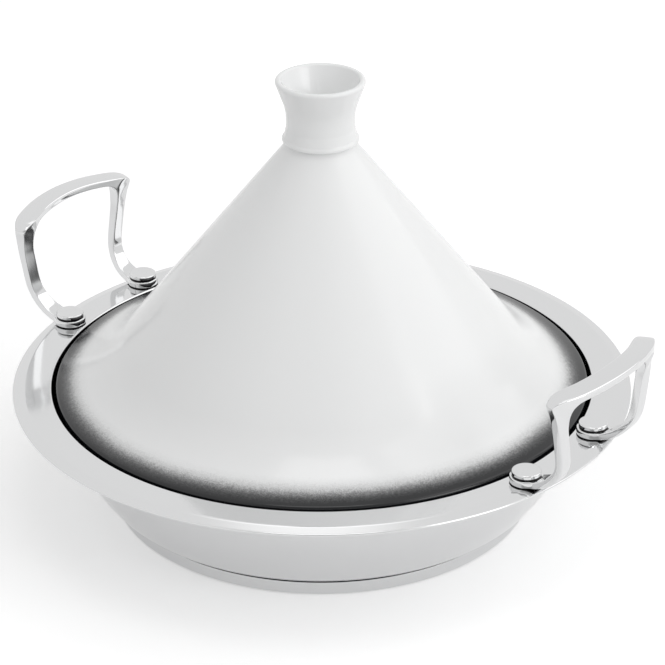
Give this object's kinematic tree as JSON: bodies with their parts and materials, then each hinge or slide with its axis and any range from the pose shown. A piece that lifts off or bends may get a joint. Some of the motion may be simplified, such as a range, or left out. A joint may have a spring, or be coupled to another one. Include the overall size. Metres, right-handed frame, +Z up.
{
  "type": "tagine",
  "caption": "Steel tagine pan with a wide flange, riveted loop handles and a conical glazed clay lid with an open cup knob.",
  "frame": {"origin": "centre of the base where the tagine stands on the table", "axes": "+Z up along the middle of the bowl and the lid, +X towards the right-hand handle, so the two handles lie along X"},
  "size_m": [0.4168, 0.3644, 0.264],
  "materials": {
    "pan_steel": "mirror-polished stainless steel",
    "base_steel": "mirror-polished stainless steel",
    "handle_steel": "mirror-polished stainless steel",
    "rivet_steel": "mirror-polished stainless steel",
    "core_metal": "plain, hidden inside the base",
    "lid_glaze": "glossy white glaze fading to charcoal round the rim"
  },
  "bodies": {
    "pan": {"pan_shell": "pan_steel", "base_cap": "base_steel", "base_core": "core_metal", "handle_left": "handle_steel", "handle_right": "handle_steel", "rivet_left_front": "rivet_steel", "rivet_left_back": "rivet_steel", "rivet_right_front": "rivet_steel", "rivet_right_back": "rivet_steel"},
    "lid": {"lid": "lid_glaze"}
  },
  "joints": [
    {"name": "lid_lift", "type": "slide", "parent": "pan", "child": "lid", "axis": [0, 0, 1], "range_m": [0, 0.12]}
  ]
}
